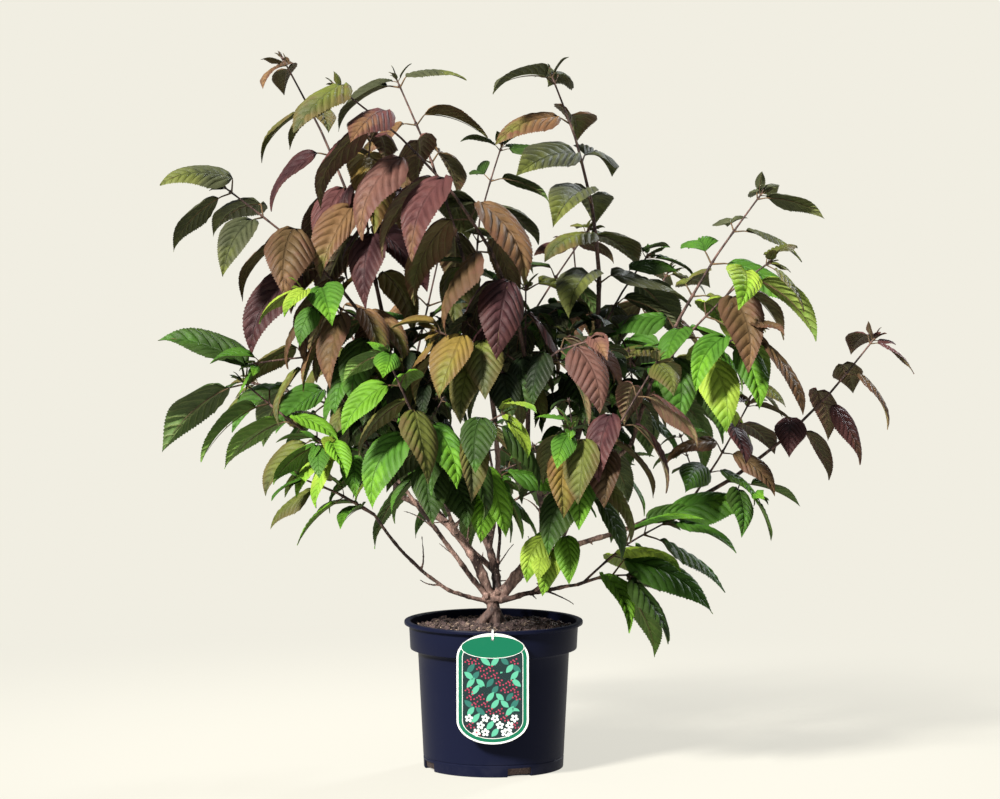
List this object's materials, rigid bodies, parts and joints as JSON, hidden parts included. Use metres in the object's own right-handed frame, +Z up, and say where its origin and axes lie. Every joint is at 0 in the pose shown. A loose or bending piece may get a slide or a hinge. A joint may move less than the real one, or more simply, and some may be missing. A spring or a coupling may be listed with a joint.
{
  "type": "potted viburnum shrub",
  "caption": "Young deciduous shrub in a round nursery pot: short trunk, spreading boughs, arching shoots with drooping toothed leaves in opposite pairs, hang label on the rim.",
  "frame": {"origin": "centre of the pot's flat underside", "axes": "+Z up, -Y towards the pot's front, where the label hangs, +X to the right seen from the front"},
  "size_m": [0.9408, 0.7375, 0.8896],
  "materials": {
    "pot_plastic": "satin",
    "potting_soil": "matte",
    "label_card": "gloss",
    "tie_plastic": "satin",
    "bark": "matte",
    "foliage": "satin"
  },
  "bodies": {
    "root": {"pot": "pot_plastic", "soil": "potting_soil", "label": "label_card", "label_tie": "tie_plastic", "trunk": "bark", "bough_left_thick": "bark", "bough_right_thick": "bark", "bough_left_back": "bark", "bough_left_straight": "bark", "bough_left_low": "bark", "bough_right_low": "bark", "bough_right_rising": "bark", "bough_right_high": "bark", "bough_front": "bark", "bough_back_top": "bark", "bough_front_left": "bark", "bough_front_right": "bark", "bough_back_left": "bark", "bough_back_right": "bark", "bough_back_low": "bark", "foliage_upper_left": "foliage", "foliage_front_arch": "foliage", "foliage_left_arch": "foliage", "foliage_left_spray": "foliage", "foliage_left_low": "foliage", "foliage_top": "foliage", "foliage_back_top": "foliage", "foliage_right_high": "foliage", "foliage_right_far": "foliage", "foliage_right_low": "foliage", "foliage_front_left": "foliage", "foliage_front_right": "foliage", "foliage_back_left": "foliage", "foliage_back_right": "foliage", "foliage_back_low": "foliage"}
  },
  "joints": []
}
